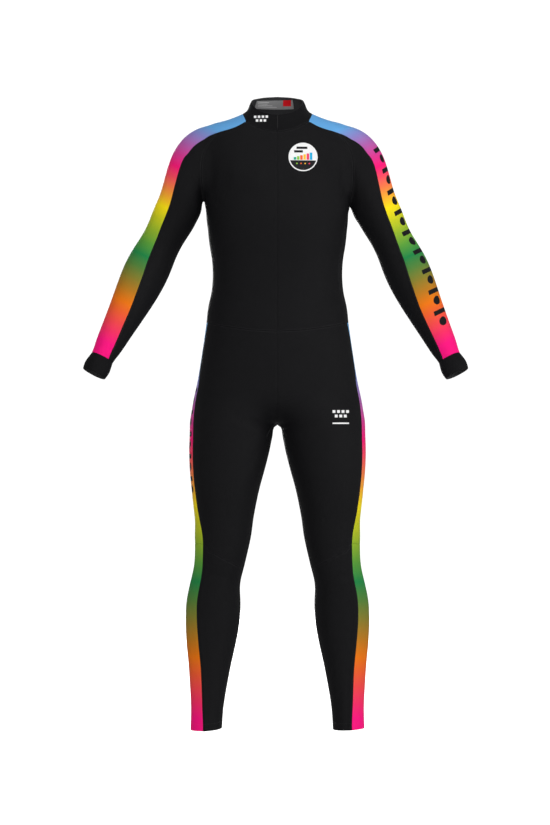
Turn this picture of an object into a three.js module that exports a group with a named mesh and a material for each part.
// A one-piece race suit of stretch knit for cross-country skiing, filled out as it is when worn.
// Millimetres, +Z up, the front faces -Y and the wearer's left is +X.
// The origin is the middle of the neck base, where the wearer's shoulders carry the suit.
import * as THREE from 'three';

// Cloth and seams
const KNIT_WALL = 1.6;
const RIB_WALL = 2.4;
const LABEL_WALL = 1.0;
const ZIP_WALL = 1.2;
const SEAM_GAP = 0.3;
const HEM_HEIGHT = 21;
const HEM_PROUD = 1.0;
const HEM_Z = -1430;

// Rounding where the arms meet the body and where the legs meet each other
const ARMPIT_ROUND = 16;
const CROTCH_ROUND = { above: 90, below: 14 };
const ROUNDNESS = { torso: 2.15, leg: 2.05, arm: 2.0 };
const CROTCH_FADE = { from: -645, to: -728 };

// The arm hangs along one straight line, in planes square to it
const SHOULDER = { x: 170, z: -95 };
const ARM_SLANT = THREE.MathUtils.degToRad(26.7);
const WRIST = 522;
const CUFF_END = 566;

// How many cells lie along each seam, shared by the two panels that it joins
const CELLS = {
  neckFront: 5, neckSide: 5, neckBack: 6, shoulder: 4, armhole: 6, side: 13, underArm: 20,
  waistFront: 9, waistStripe: 3, waistBack: 7, rise: 8, inseam: 12, shin: 15, collar: 3, cuff: 4,
};

// A smooth curve through each column of a short table, against its first column
function table(columns, rows) {
  const [key, ...names] = columns;
  const sorted = [...rows].sort((a, b) => a[0] - b[0]);
  const curves = { [key]: sorted.map((row) => row[0]) };
  names.forEach((name, k) => {
    curves[name] = (at) => interpolate(curves[key], sorted.map((row) => row[k + 1]), at);
  });
  return curves;
}

function interpolate(xs, ys, at) {
  const last = xs.length - 1;
  if (at <= xs[0]) return ys[0];
  if (at >= xs[last]) return ys[last];
  let i = 0;
  while (at > xs[i + 1]) i += 1;
  const slope = (j) => {
    if (j === 0) return (ys[1] - ys[0]) / (xs[1] - xs[0]);
    if (j === last) return (ys[last] - ys[last - 1]) / (xs[last] - xs[last - 1]);
    return (ys[j + 1] - ys[j - 1]) / (xs[j + 1] - xs[j - 1]);
  };
  const width = xs[i + 1] - xs[i];
  const s = (at - xs[i]) / width;
  const rise = ys[i + 1] - ys[i];
  const a = slope(i) * width - rise;
  const b = rise - slope(i + 1) * width;
  return ys[i] + s * rise + s * (1 - s) * ((1 - s) * a + s * b);
}

// Level sections of the body: half its width, and how far its front and back stand from the middle
const TORSO = table(['z', 'halfWidth', 'front', 'back'], [
  [60, 44, 44, 48],
  [50, 50, 48, 54],
  [42, 56, 52, 58],
  [34, 61, 55, 61],
  [26, 65, 57, 64],
  [17, 69, 60, 68],
  [9, 73.5, 62, 72],
  [4, 82, 64, 75],
  [-3, 98, 67, 79],
  [-10, 117, 69, 83],
  [-17, 142, 71, 86],
  [-24, 163, 73, 89],
  [-32, 181, 76, 92],
  [-45, 188, 82, 97],
  [-75, 184, 94, 106],
  [-112, 177, 105, 113],
  [-163, 172, 115, 117],
  [-224, 169, 119, 113],
  [-262, 163, 117, 107],
  [-299, 159, 112, 98],
  [-336, 153, 107, 90],
  [-373, 151, 103, 87],
  [-411, 154, 101, 88],
  [-448, 162, 101, 91],
  [-485, 166, 102, 98],
  [-541, 174, 104, 113],
  [-616, 186, 104, 129],
  [-672, 198, 101, 131],
  [-728, 205, 96, 122],
]);

// Level sections of one leg, with the distance of its middle from the centre of the suit
const LEG = table(['z', 'centre', 'halfWidth', 'front', 'back'], [
  [-485, 82, 84, 100, 100],
  [-600, 93, 92, 102, 122],
  [-672, 100, 98, 100, 125],
  [-710, 104, 100.5, 97, 116],
  [-728, 106.2, 98.6, 96, 110],
  [-756, 109.5, 96.5, 95, 101],
  [-794, 113.9, 92.3, 94, 92],
  [-831, 117.8, 86.6, 92, 86],
  [-868, 121.1, 79.6, 89, 81],
  [-906, 123.3, 73.5, 84, 76],
  [-943, 124.5, 68, 77, 70],
  [-980, 127, 65.6, 71, 64],
  [-1018, 130.9, 61.3, 66, 60],
  [-1055, 137, 58.5, 60, 60],
  [-1092, 145.6, 58.6, 55, 65],
  [-1130, 149.1, 62.6, 51, 72],
  [-1167, 150.8, 63.5, 48, 76],
  [-1204, 152.9, 61, 45, 75],
  [-1242, 155.4, 55.8, 43, 69],
  [-1279, 157.7, 49.6, 41, 61],
  [-1316, 160, 44.7, 39, 54],
  [-1354, 162.2, 40.1, 38, 49],
  [-1391, 164.1, 37.1, 39, 46],
  [-1431, 165.8, 36.4, 42, 46],
]);

// Sections of one arm along its line, with how far its middle lies behind the shoulder
const ARM = table(['t', 'outer', 'inner', 'depth', 'behind'], [
  [-75, 10, 12, 14, 8],
  [-60, 29, 24, 32, 8],
  [-45, 46, 36, 43, 8],
  [-30, 57, 44, 51, 8],
  [-15, 64, 50, 57, 8],
  [0, 67.5, 52, 60, 8],
  [20, 69.5, 53, 61, 8],
  [40, 69, 53, 61, 8],
  [70, 64.5, 52, 60, 7],
  [100, 58.5, 48, 58, 6],
  [130, 53.5, 50, 55, 7],
  [160, 52, 51.5, 53, 9],
  [190, 49.4, 48, 51, 11],
  [215, 48.4, 46, 50, 12],
  [240, 50, 46.4, 50, 11],
  [265, 53, 49, 50, 7],
  [290, 54, 51, 50, 3],
  [320, 53, 51.4, 49, -4],
  [360, 48.2, 49, 46, -14],
  [400, 42.6, 44.5, 42, -24],
  [440, 37.8, 39.4, 37, -34],
  [480, 33, 34.2, 32, -44],
  [510, 28.2, 29, 28, -51],
  [522, 25.4, 25.8, 26.5, -54],
  [548, 28.6, 28.6, 28.6, -61],
  [566, 26.2, 26.2, 26.6, -66],
]);

// The middle of a leg's section, which the stripe's angles turn about
const legMiddle = (z) => (LEG.back(z) - LEG.front(z)) / 2;

const smoothMin = (a, b, round) => {
  const h = Math.max(round - Math.abs(a - b), 0) / round;
  return Math.min(a, b) - (h * h * round) / 4;
};

function ovalDistance(u, v, a, b, power) {
  const rho = (Math.abs(u / a) ** power + Math.abs(v / b) ** power) ** (1 / power);
  return (rho - 1) * Math.min(a, b);
}

function armPlace(p) {
  const x = Math.abs(p.x) - SHOULDER.x;
  const z = p.z - SHOULDER.z;
  return {
    t: x * Math.sin(ARM_SLANT) - z * Math.cos(ARM_SLANT),
    u: x * Math.cos(ARM_SLANT) + z * Math.sin(ARM_SLANT),
  };
}

// How far a point lies outside the cloth's outer face, below zero inside
function outside(p) {
  const depth = p.y < 0 ? TORSO.front(p.z) : TORSO.back(p.z);
  const torso = ovalDistance(p.x, p.y, TORSO.halfWidth(p.z), depth, ROUNDNESS.torso);
  const legDepth = (LEG.front(p.z) + LEG.back(p.z)) / 2;
  const v = p.y - legMiddle(p.z);
  const leg = (side) => ovalDistance(
    side * p.x - LEG.centre(p.z), v, LEG.halfWidth(p.z), legDepth, ROUNDNESS.leg,
  );
  const fade = THREE.MathUtils.smoothstep(-p.z, -CROTCH_FADE.from, -CROTCH_FADE.to);
  const bridge = THREE.MathUtils.lerp(CROTCH_ROUND.above, CROTCH_ROUND.below, fade);
  const legs = smoothMin(leg(1), leg(-1), bridge);
  const body = torso * (1 - fade) + legs * fade;
  const { t, u } = armPlace(p);
  const armWidth = u > 0 ? ARM.outer(t) : ARM.inner(t);
  const tube = ovalDistance(u, p.y - ARM.behind(t), armWidth, ARM.depth(t), ROUNDNESS.arm);
  const arm = Math.max(tube, ARM.t[0] - t);
  return smoothMin(body, arm, ARMPIT_ROUND);
}

function slopeAt(p) {
  const step = 0.5;
  const along = (axis) => {
    const q = p.clone();
    q[axis] += step;
    const ahead = outside(q);
    q[axis] -= 2 * step;
    return (ahead - outside(q)) / (2 * step);
  };
  return new THREE.Vector3(along('x'), along('y'), along('z'));
}

const normalAt = (p) => slopeAt(p).normalize();

function toSurface(p) {
  const q = p.clone();
  for (let i = 0; i < 12; i += 1) {
    const slope = slopeAt(q);
    const move = THREE.MathUtils.clamp(outside(q) / slope.lengthSq(), -12, 12);
    q.addScaledVector(slope, -move);
  }
  return q;
}

// The first point of the cloth that a straight line meets
function meet(from, direction, reach = 500) {
  const at = (d) => from.clone().addScaledVector(direction, d);
  const inside = outside(from) < 0;
  let far = 0;
  while (far < reach && (outside(at(far)) < 0) === inside) far += 3;
  let near = far - 3;
  for (let i = 0; i < 30; i += 1) {
    const middle = (near + far) / 2;
    if ((outside(at(middle)) < 0) === inside) near = middle;
    else far = middle;
  }
  return at(near);
}

const FRONT = new THREE.Vector3(0, -1, 0);
const BACK = new THREE.Vector3(0, 1, 0);
const DOWN = new THREE.Vector3(0, 0, -1);
const seenFrom = (side) => ([x, z]) => meet(
  new THREE.Vector3(x, side.y * 250, z), side.clone().negate(),
);
const onFront = seenFrom(FRONT);
const onBack = seenFrom(BACK);

// Equal steps along a smooth curve on the cloth, from one share of its length to another
function seam(points, cells, from = 0, to = 1) {
  const curve = new THREE.CatmullRomCurve3(points, false, 'centripetal');
  curve.arcLengthDivisions = 600;
  return Array.from({ length: cells + 1 }, (_, i) => {
    const share = from + ((to - from) * i) / cells;
    return toSurface(curve.getPointAt(share));
  });
}

const join = (...seams) => seams.reduce((all, next) => [...all, ...next.slice(1)]);
const reversed = (points) => [...points].reverse();
const mirrored = (points) => points.map((p) => new THREE.Vector3(-p.x, p.y, p.z));

// The seams of the wearer's left half, as places across and up on its front or back
const centreNeckFront = onFront([0, -43]);
const centreNeckBack = onBack([0, 6]);
const centreWaistFront = onFront([0, -504]);
const centreWaistBack = onBack([0, -480]);

const stripeFrontEdge = [
  [73, -18], [101, -32], [138, -43], [166, -53], [186, -62], [204, -80], [217, -98],
  [225, -117], [231, -136], [245, -191], [258, -229], [273, -266], [287, -303], [302, -341],
  [314, -378], [327, -415], [341, -453], [357, -490], [373, -528], [388, -563],
].map(onFront);
const stripeBackEdge = [
  [66, -4], [100, -20], [138, -32], [166, -44], [190, -60], [210, -82], [222, -104],
  [231, -130], [240, -160], [252, -200], [268, -240], [285, -280], [303, -325], [321, -370],
  [337, -415], [352, -453], [368, -490], [383, -526], [400, -562],
].map(onBack);
// The share of a stripe's edge that lies above the armhole
const ARMHOLE_SHARE = 0.108;

const shoulderFront = seam(stripeFrontEdge, CELLS.shoulder, 0, ARMHOLE_SHARE);
const shoulderBack = seam(stripeBackEdge, CELLS.shoulder, 0, ARMHOLE_SHARE);

// A point of the arm's cloth, by its place along the arm and its angle from the outer side to the front
function armPoint(t, angle) {
  const middle = new THREE.Vector3(
    SHOULDER.x + t * Math.sin(ARM_SLANT), ARM.behind(t), SHOULDER.z - t * Math.cos(ARM_SLANT),
  );
  const out = new THREE.Vector3(Math.cos(ARM_SLANT), 0, Math.sin(ARM_SLANT));
  const direction = out.multiplyScalar(Math.cos(angle)).addScaledVector(FRONT, Math.sin(angle));
  return meet(middle, direction);
}

const armAngle = (p) => {
  const { t, u } = armPlace(p);
  return Math.atan2(ARM.behind(t) - p.y, u);
};

function wristEnd(edge) {
  const kept = edge.filter((p) => armPlace(p).t < WRIST - 12);
  return [...kept, armPoint(WRIST, armAngle(edge[edge.length - 1]))];
}

const sleeveFront = seam(wristEnd(stripeFrontEdge), CELLS.underArm, ARMHOLE_SHARE, 1);
const sleeveBack = seam(wristEnd(stripeBackEdge), CELLS.underArm, ARMHOLE_SHARE, 1);
sleeveFront[0] = shoulderFront[CELLS.shoulder];
sleeveBack[0] = shoulderBack[CELLS.shoulder];

// The armpit is the lowest cloth between the arm and the body
const UNDER_ARM = new THREE.Vector3(171, -6, -262);
const armpit = meet(UNDER_ARM, new THREE.Vector3(0, 0, 1));
const armholeFront = seam(
  [sleeveFront[0], ...[[161, -66], [173, -94], [177, -138], [175, -176]].map(onFront), armpit],
  CELLS.armhole,
);
const armholeBack = seam(
  [sleeveBack[0], ...[[160, -62], [172, -94], [177, -138], [175, -176]].map(onBack), armpit],
  CELLS.armhole,
);

const SIDE_WAIST_Z = -483;
const stripeCorner = onFront([160, SIDE_WAIST_Z]);
const sideSeam = seam(
  [armpit, ...[[161, -240], [150, -299], [142, -355], [146, -410], [154, -450]].map(onFront),
    stripeCorner],
  CELLS.side,
);

const neckRidge = onBack([78, 1]).setY(8);
const neckFront = seam([centreNeckFront, ...[[25, -40], [50, -31]].map(onFront), shoulderFront[0]],
  CELLS.neckFront);
const neckSide = seam([shoulderFront[0], toSurface(neckRidge), shoulderBack[0]], CELLS.neckSide);
const neckBack = seam([shoulderBack[0], ...[[45, 1], [22, 5]].map(onBack), centreNeckBack],
  CELLS.neckBack);

const centreFront = seam([-43, -120, -200, -280, -360, -440, -504].map((z) => onFront([0, z])),
  CELLS.armhole + CELLS.side);

// The legs' seams: angles turn about the leg, from its outer side at 0 to its front at 90 degrees
function legPoint(z, degrees) {
  const angle = THREE.MathUtils.degToRad(degrees);
  const direction = new THREE.Vector3(Math.cos(angle), -Math.sin(angle), 0);
  return meet(new THREE.Vector3(LEG.centre(z), legMiddle(z), z), direction);
}

const legAngle = (p) => THREE.MathUtils.radToDeg(
  Math.atan2(legMiddle(p.z) - p.y, p.x - LEG.centre(p.z)),
);

const LEG_STRIPE_FRONT = table(['z', 'x'], [
  [-483, 160], [-546, 172], [-616, 182], [-677, 193], [-733, 196.6], [-817, 196.8], [-873, 192],
  [-929, 184], [-957, 178], [-985, 173.6], [-1041, 174.3], [-1069, 176.2], [-1125, 186.5],
  [-1181, 187.6], [-1237, 183.2], [-1293, 178], [-1349, 176], [-1405, 173.8], [-1431, 173.6],
]);
const LEG_STRIPE_BACK = table(['z', 'degrees'], [
  [-483, -24], [-600, -20], [-750, -20], [-870, -26], [-985, -36], [-1100, -42], [-1200, -42],
  [-1320, -48], [-1431, -54],
]);
const KNEE = { z: -1027, rise: 30 };
const kneeZ = (degrees) => KNEE.z + KNEE.rise * Math.cos(THREE.MathUtils.degToRad(degrees));
const INSEAM_DEGREES = 176;

function levels(from, to, count) {
  return Array.from({ length: count + 1 }, (_, i) => from + ((to - from) * i) / count);
}

const KNEE_FRONT_Z = -997;
const kneeFrontCorner = onFront([LEG_STRIPE_FRONT.x(KNEE_FRONT_Z), KNEE_FRONT_Z]);
const kneeFrontAngle = legAngle(kneeFrontCorner);
const kneeBackAngle = LEG_STRIPE_BACK.degrees(KNEE.z);
const kneePoint = (degrees) => legPoint(kneeZ(degrees), degrees);

const hemFrontAngle = legAngle(onFront([LEG_STRIPE_FRONT.x(HEM_Z), HEM_Z]));
const hemBackAngle = LEG_STRIPE_BACK.degrees(HEM_Z);

// Rows of the lower leg stop at the hem's fold, which has one short ramp and one tall band
const FOLD_RAMP = 1.2;
const foldTop = HEM_Z + HEM_HEIGHT;
const shinLevel = (top) => [
  ...levels(top, foldTop, CELLS.shin), foldTop - FOLD_RAMP, HEM_Z,
];
const SHIN_ROWS = CELLS.shin + 2;
const hemLift = (row) => (row > CELLS.shin ? HEM_PROUD : 0);

const stripeFrontAt = (z) => onFront([LEG_STRIPE_FRONT.x(z), z]);
const stripeBackAt = (z) => legPoint(z, LEG_STRIPE_BACK.degrees(z));

const thighStripeFront = seam(levels(SIDE_WAIST_Z, kneeFrontCorner.z, 24).map(stripeFrontAt),
  CELLS.rise + CELLS.inseam);
const thighStripeBack = seam(
  [...levels(SIDE_WAIST_Z, kneeZ(kneeBackAngle) + 12, 24).map(stripeBackAt), kneePoint(kneeBackAngle)],
  CELLS.rise + CELLS.inseam,
);
const shinStripeFront = shinLevel(kneeFrontCorner.z).map(stripeFrontAt);
const shinStripeBack = shinLevel(kneeZ(kneeBackAngle)).map((z, i) => (
  i === 0 ? kneePoint(kneeBackAngle) : stripeBackAt(z)));
const shinInseam = shinLevel(kneeZ(INSEAM_DEGREES)).map((z) => legPoint(z, INSEAM_DEGREES));

const arcOf = (from, to, cells, point) => levels(from, to, cells).map(point);
const kneeFront = arcOf(kneeFrontAngle, INSEAM_DEGREES, CELLS.waistFront, kneePoint);
const kneeStripe = arcOf(kneeFrontAngle, kneeBackAngle, CELLS.waistStripe, kneePoint);
const kneeBack = arcOf(kneeBackAngle, INSEAM_DEGREES - 360, CELLS.waistBack, kneePoint);
const hemPoint = (degrees) => legPoint(HEM_Z, degrees);
const hemFront = arcOf(hemFrontAngle, INSEAM_DEGREES, CELLS.waistFront, hemPoint);
const hemStripe = arcOf(hemFrontAngle, hemBackAngle, CELLS.waistStripe, hemPoint);
const hemBack = arcOf(hemBackAngle, INSEAM_DEGREES - 360, CELLS.waistBack, hemPoint);
kneeFront[0] = kneeFrontCorner;
kneeStripe[0] = kneeFrontCorner;

// The waist seam dips at the centre front
const waistFront = seam([stripeCorner, ...[[135, -490], [100, -496], [60, -501], [30, -503]]
  .map(onFront), centreWaistFront], CELLS.waistFront);
const waistStripe = seam([stripeCorner, ...[8, -8].map((angle) => legPoint(SIDE_WAIST_Z, angle)),
  thighStripeBack[0]], CELLS.waistStripe);
const waistBack = seam([thighStripeBack[0], ...[[140, -482], [110, -481], [70, -480], [35, -480]]
  .map(onBack), centreWaistBack], CELLS.waistBack);

// The rise runs down the middle of the front or back and under to the crotch
const CROTCH_Y = 4;
function rise(start, facing) {
  const hub = new THREE.Vector3(0, CROTCH_Y, start.z);
  const turns = levels(0, 90, 36).map(THREE.MathUtils.degToRad);
  const points = turns.map((turn) => meet(
    hub,
    facing.clone().multiplyScalar(Math.cos(turn)).addScaledVector(DOWN, Math.sin(turn)),
  ));
  return seam(points, CELLS.rise);
}
const riseFront = rise(centreWaistFront, FRONT);
const riseBack = rise(centreWaistBack, BACK);
const crotch = riseFront[CELLS.rise];
riseBack[CELLS.rise] = crotch;
const thighInseam = seam(
  [crotch, ...levels(crotch.z - 12, kneeZ(INSEAM_DEGREES), 16)
    .map((z) => legPoint(z, INSEAM_DEGREES))],
  CELLS.inseam,
);

// The ways round each limb in which a panel is spread: along, turning about, and out from its line
const AROUND_TORSO = {
  read: (p, turn) => [p.z, near(Math.atan2(p.x, -p.y), turn), Math.hypot(p.x, p.y)],
  place: ([z, angle, out]) => new THREE.Vector3(out * Math.sin(angle), -out * Math.cos(angle), z),
};
const AROUND_LEG = {
  read: (p, turn) => {
    const x = p.x - LEG.centre(p.z);
    const y = legMiddle(p.z) - p.y;
    return [p.z, near(Math.atan2(y, x), turn), Math.hypot(x, y)];
  },
  place: ([z, angle, out]) => new THREE.Vector3(
    LEG.centre(z) + out * Math.cos(angle), legMiddle(z) - out * Math.sin(angle), z,
  ),
};
// Above the shoulder the line that the arm's panels turn about bends in under the neck
const BEND = { start: 20, reach: 141, at: -121 };
const bendAt = (t) => {
  const share = Math.max(BEND.start - t, 0) / (BEND.start - BEND.at);
  return -BEND.reach * share * share;
};
const AROUND_ARM = {
  read: (p, turn) => {
    const { t, u } = armPlace(p);
    const across = u - bendAt(t);
    const forward = ARM.behind(t) - p.y;
    return [t, near(Math.atan2(forward, across), turn), Math.hypot(across, forward)];
  },
  place: ([t, angle, out]) => {
    const across = out * Math.cos(angle) + bendAt(t);
    return new THREE.Vector3(
      SHOULDER.x + t * Math.sin(ARM_SLANT) + across * Math.cos(ARM_SLANT),
      ARM.behind(t) - out * Math.sin(angle),
      SHOULDER.z - t * Math.cos(ARM_SLANT) + across * Math.sin(ARM_SLANT),
    );
  },
};

function near(angle, turn) {
  const full = 2 * Math.PI;
  return angle - full * Math.round((angle - turn) / full);
}

// Spreads a panel between its four seams: top and bottom run across, left and right run down
function spread({ top, bottom, left, right }, around, turnDegrees) {
  const turn = THREE.MathUtils.degToRad(turnDegrees);
  const read = (p) => around.read(p, turn);
  const [t, b, l, r] = [top, bottom, left, right].map((side) => side.map(read));
  const across = top.length - 1;
  const down = left.length - 1;
  if (bottom.length !== top.length || right.length !== left.length) {
    throw new Error('the seams of a panel differ in their cells');
  }
  return levels(0, down, down).map((j) => levels(0, across, across).map((i) => {
    if (j === 0) return top[i];
    if (j === down) return bottom[i];
    if (i === 0) return left[j];
    if (i === across) return right[j];
    const u = i / across;
    const v = j / down;
    const place = [0, 1, 2].map((k) => (1 - v) * t[i][k] + v * b[i][k] + (1 - u) * l[j][k]
      + u * r[j][k] - (1 - u) * ((1 - v) * t[0][k] + v * b[0][k])
      - u * ((1 - v) * t[across][k] + v * b[across][k]));
    return toSurface(around.place(place));
  }));
}

// Draws a panel's edges back by half the seam gap
function trimmed(rows, closed = false) {
  const down = rows.length - 1;
  const across = rows[0].length - 1;
  const result = rows.map((row) => row.map((p) => p.clone()));
  const draw = (j, i, inward, before, after) => {
    const along = after.clone().sub(before).normalize();
    const way = inward.clone().sub(rows[j][i]);
    way.addScaledVector(along, -way.dot(along)).normalize();
    result[j][i].addScaledVector(way, SEAM_GAP / 2 + 0.01);
  };
  const clampTo = (value, most) => THREE.MathUtils.clamp(value, 0, most);
  for (let i = 0; i <= across; i += 1) {
    const [a, b] = closed
      ? [(i + across - 1) % across, (i + 1) % across]
      : [clampTo(i - 1, across), clampTo(i + 1, across)];
    draw(0, i, rows[1][i], rows[0][a], rows[0][b]);
    draw(down, i, rows[down - 1][i], rows[down][a], rows[down][b]);
  }
  for (let j = 0; j <= down && !closed; j += 1) {
    const [a, b] = [clampTo(j - 1, down), clampTo(j + 1, down)];
    draw(j, 0, rows[j][1], rows[a][0], rows[b][0]);
    draw(j, across, rows[j][across - 1], rows[a][across], rows[b][across]);
  }
  return result;
}

// Gives a sheet of points its wall and closes its edges
function wallMesh(outer, inner, closed = false) {
  const down = outer.length - 1;
  const across = outer[0].length - 1;
  const rowLength = across + 1;
  const layer = rowLength * (down + 1);
  const corner = [...outer.flat(), ...inner.flat()];
  const positions = corner.flatMap((p) => [p.x, p.y, p.z]);
  const at = (j, i, side) => side * layer + j * rowLength + (closed ? i % across : i);
  const index = [];
  const quad = (a, b, c, d) => {
    const straight = corner[a].distanceTo(corner[c]) <= corner[b].distanceTo(corner[d]);
    index.push(...(straight ? [a, b, c, a, c, d] : [b, c, d, b, d, a]));
  };
  for (let j = 0; j < down; j += 1) {
    for (let i = 0; i < across; i += 1) {
      quad(at(j, i, 0), at(j + 1, i, 0), at(j + 1, i + 1, 0), at(j, i + 1, 0));
      quad(at(j, i, 1), at(j, i + 1, 1), at(j + 1, i + 1, 1), at(j + 1, i, 1));
    }
  }
  for (let i = 0; i < across; i += 1) {
    quad(at(0, i, 0), at(0, i + 1, 0), at(0, i + 1, 1), at(0, i, 1));
    quad(at(down, i, 0), at(down, i, 1), at(down, i + 1, 1), at(down, i + 1, 0));
  }
  for (let j = 0; j < down && !closed; j += 1) {
    quad(at(j, 0, 0), at(j, 0, 1), at(j + 1, 0, 1), at(j + 1, 0, 0));
    quad(at(j, across, 0), at(j + 1, across, 0), at(j + 1, across, 1), at(j, across, 1));
  }
  const geometry = new THREE.BufferGeometry();
  geometry.setAttribute('position', new THREE.Float32BufferAttribute(positions, 3));
  geometry.setIndex(volumeOf(positions, index) < 0 ? index.reverse() : index);
  return geometry;
}

function volumeOf(positions, index) {
  const point = (k) => new THREE.Vector3(...positions.slice(3 * k, 3 * k + 3));
  let sum = 0;
  for (let k = 0; k < index.length; k += 3) {
    sum += point(index[k]).dot(point(index[k + 1]).cross(point(index[k + 2])));
  }
  return sum / 6;
}

// The cloth's outer face may stand proud by row; its wall always lies inside
function cloth(rows, wall, { lift = () => 0, closed = false } = {}) {
  const normals = rows.map((row) => row.map(normalAt));
  const cut = trimmed(rows, closed);
  const moved = (distance) => cut.map((row, j) => row.map(
    (p, i) => p.clone().addScaledVector(normals[j][i], distance(j)),
  ));
  return wallMesh(moved(lift), moved((j) => -wall + lift(j) / 2), closed);
}

const COLOURS = { knit: 0x1b1c1e, rib: 0x17181a, stripe: 0xd8502f, label: 0x6d7072, tape: 0x121314 };
const finish = (color, roughness) => new THREE.MeshStandardMaterial({
  color, roughness, metalness: 0,
});

const group = new THREE.Group();

function add(name, geometry, colour, roughness = 0.7) {
  const mesh = new THREE.Mesh(geometry, finish(colour, roughness));
  mesh.name = name;
  group.add(mesh);
}

const mirroredRows = (rows) => rows.map(mirrored);

// Both sides of the suit, each panel from the wearer's left half
function addPair(name, rows, wall, colour, options) {
  add(`${name}_left`, cloth(rows, wall, options), colour);
  add(`${name}_right`, cloth(mirroredRows(rows), wall, options), colour);
}

const frontRows = spread({
  top: join(neckFront, shoulderFront),
  bottom: reversed(waistFront),
  left: centreFront,
  right: join(armholeFront, sideSeam),
}, AROUND_TORSO, 50);
addPair('front', frontRows, KNIT_WALL, COLOURS.knit);

const halfBackTop = join(reversed(shoulderBack), neckBack);
const halfBackBottom = join(waistStripe, waistBack);
const backSide = join(armholeBack, sideSeam);
const backRows = spread({
  top: join(halfBackTop, mirrored(reversed(halfBackTop))),
  bottom: join(halfBackBottom, mirrored(reversed(halfBackBottom))),
  left: backSide,
  right: mirrored(backSide),
}, AROUND_TORSO, 180);
add('back', cloth(backRows, KNIT_WALL), COLOURS.knit);

const wristArc = (from, to, cells) => arcOf(from, to, cells, (angle) => armPoint(WRIST, angle));
const wristFrontAngle = armAngle(sleeveFront[CELLS.underArm]);
const wristBackAngle = armAngle(sleeveBack[CELLS.underArm]);
const wristOver = wristArc(wristFrontAngle, wristBackAngle, CELLS.neckSide);
const wristUnder = wristArc(wristFrontAngle, wristBackAngle + 2 * Math.PI, 2 * CELLS.armhole);
for (const arc of [wristOver, wristUnder]) {
  arc[0] = sleeveFront[CELLS.underArm];
  arc[arc.length - 1] = sleeveBack[CELLS.underArm];
}

addPair('overarm_panel', spread({
  top: neckSide,
  bottom: wristOver,
  left: join(shoulderFront, sleeveFront),
  right: join(shoulderBack, sleeveBack),
}, AROUND_ARM, 0), KNIT_WALL, COLOURS.stripe);

addPair('sleeve', spread({
  top: join(armholeFront, reversed(armholeBack)),
  bottom: wristUnder,
  left: sleeveFront,
  right: sleeveBack,
}, AROUND_ARM, 180), KNIT_WALL, COLOURS.knit);

// The cuff is a rib tube that starts from the wrist seam's own points
const cuffTop = join(reversed(wristOver), wristUnder);
const cuffRows = levels(WRIST, CUFF_END, CELLS.cuff).map((t) => cuffTop.map(
  (p) => (t === WRIST ? p : armPoint(t, armAngle(p))),
));
addPair('cuff', cuffRows, RIB_WALL, COLOURS.rib, { closed: true });

addPair('thigh_front', spread({
  top: waistFront,
  bottom: kneeFront,
  left: thighStripeFront,
  right: join(riseFront, thighInseam),
}, AROUND_LEG, 100), KNIT_WALL, COLOURS.knit);

addPair('thigh_back', spread({
  top: waistBack,
  bottom: kneeBack,
  left: thighStripeBack,
  right: join(riseBack, thighInseam),
}, AROUND_LEG, -100), KNIT_WALL, COLOURS.knit);

addPair('thigh_stripe', spread({
  top: waistStripe,
  bottom: kneeStripe,
  left: thighStripeFront,
  right: thighStripeBack,
}, AROUND_LEG, 0), KNIT_WALL, COLOURS.stripe);

const lowerLeg = { lift: hemLift };
addPair('shin_front', spread({
  top: kneeFront,
  bottom: hemFront,
  left: shinStripeFront,
  right: shinInseam,
}, AROUND_LEG, 100), KNIT_WALL, COLOURS.knit, lowerLeg);

addPair('calf_back', spread({
  top: kneeBack,
  bottom: hemBack,
  left: shinStripeBack,
  right: shinInseam,
}, AROUND_LEG, -100), KNIT_WALL, COLOURS.knit, lowerLeg);

addPair('shin_stripe', spread({
  top: kneeStripe,
  bottom: hemStripe,
  left: shinStripeFront,
  right: shinStripeBack,
}, AROUND_LEG, 0), KNIT_WALL, COLOURS.stripe, lowerLeg);

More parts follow.
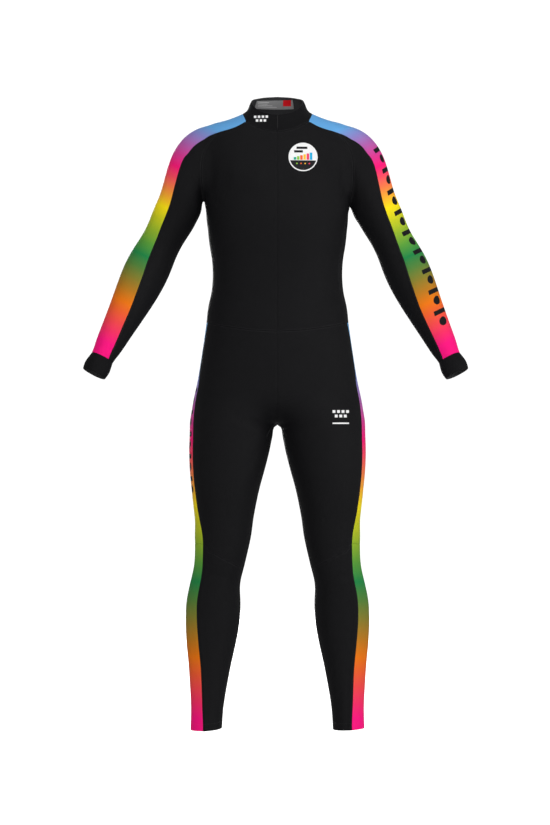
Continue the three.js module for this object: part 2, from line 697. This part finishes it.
// The collar stands on the neck seam and is slit at the centre front
const COLLAR_TOP = table(['degrees', 'z'], [
  [0, -3], [30, 4], [55, 19], [75, 31], [90, 37], [120, 43], [150, 48], [180, 50],
]);
const halfNeck = join(neckFront, neckSide, neckBack);
const neckDegrees = (p) => THREE.MathUtils.radToDeg(Math.atan2(p.x, -p.y));
const collarTopPoint = (p) => {
  const z = COLLAR_TOP.z(neckDegrees(p));
  const out = new THREE.Vector3(p.x, p.y, 0).normalize();
  return meet(new THREE.Vector3(0, 0, z), out);
};
const halfCollar = levels(0, 1, CELLS.collar).map((share) => halfNeck.map((p) => {
  if (share === 0) return p;
  const top = collarTopPoint(p);
  return share === 1 ? top : toSurface(p.clone().lerp(top, share));
}));
const collarRows = halfCollar.map((row) => join(row, mirrored(reversed(row))));
add('collar', cloth(collarRows, RIB_WALL), COLOURS.rib);

// A point between the points of a panel, moved in behind its wall
function behind(rows, j, i, depth) {
  const j0 = Math.min(Math.floor(j), rows.length - 2);
  const i0 = Math.min(Math.floor(i), rows[0].length - 2);
  const mix = (of) => of(j0, i0).lerp(of(j0, i0 + 1), i - i0)
    .lerp(of(j0 + 1, i0).lerp(of(j0 + 1, i0 + 1), i - i0), j - j0);
  const point = mix((b, a) => rows[b][a].clone());
  const normal = mix((b, a) => normalAt(rows[b][a])).normalize();
  return point.addScaledVector(normal, -depth);
}

// A layer that lies inside a panel, over a span of its rows and columns
function lining(rows, spanDown, spanAcross, cover, wall) {
  const sheet = (depth) => spanDown.map((j) => spanAcross.map((i) => behind(rows, j, i, depth)));
  return wallMesh(sheet(cover + SEAM_GAP), sheet(cover + SEAM_GAP + wall));
}

const middle = CELLS.neckFront + CELLS.neckSide + CELLS.neckBack;
const LABEL = { from: 1.05, to: 2.45, cells: 4.5, aside: 0.4 };
add('neck_label', lining(
  collarRows,
  levels(LABEL.from, LABEL.to, 2),
  levels(middle + LABEL.aside - LABEL.cells, middle + LABEL.aside + LABEL.cells, 12),
  RIB_WALL,
  LABEL_WALL,
), COLOURS.label);

// The hidden zip's tape backs the meeting edges of the two fronts, up to the neck seam
const zipRows = frontRows.map((row) => [...mirrored(reversed(row.slice(0, 2))), ...row.slice(1, 2)]);
const ZIP_HALF = 0.5;
add('front_zip', lining(
  zipRows, levels(0, zipRows.length - 1, zipRows.length - 1), [1 - ZIP_HALF, 1, 1 + ZIP_HALF],
  KNIT_WALL, ZIP_WALL,
), COLOURS.tape);

export default group;
